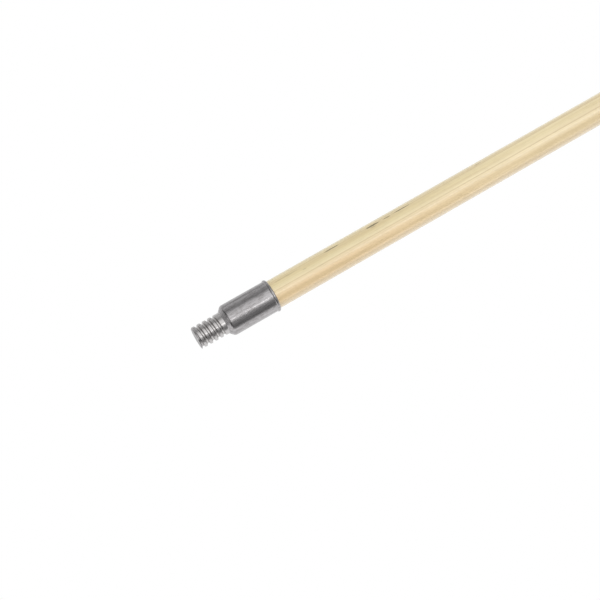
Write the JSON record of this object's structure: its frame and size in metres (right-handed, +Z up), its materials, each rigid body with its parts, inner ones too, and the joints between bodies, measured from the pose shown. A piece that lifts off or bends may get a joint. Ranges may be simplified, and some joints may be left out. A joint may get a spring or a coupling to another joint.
{
  "type": "roller extension pole",
  "caption": "Straight wooden pole with a metal threaded tip that screws into a paint roller handle to lengthen its reach.",
  "frame": {"origin": "centre of the threaded tip's small end face, the end that goes first into a roller handle", "axes": "+X along the pole from the tip to the butt end, +Z up with the pole lying level, the nail's head on the underside"},
  "size_m": [1.2192, 0.0296, 0.0296],
  "materials": {
    "tip_metal": "bare cast metal, tumbled bright, fine scratches",
    "pole_wood": "pale straight-grained wood, sanded, thin satin coat",
    "glue": "set adhesive",
    "nail_steel": "bright steel"
  },
  "bodies": {
    "root": {"threaded_tip": "tip_metal", "wood_pole": "pole_wood", "glue_line": "glue", "retaining_nail": "nail_steel"}
  },
  "joints": []
}
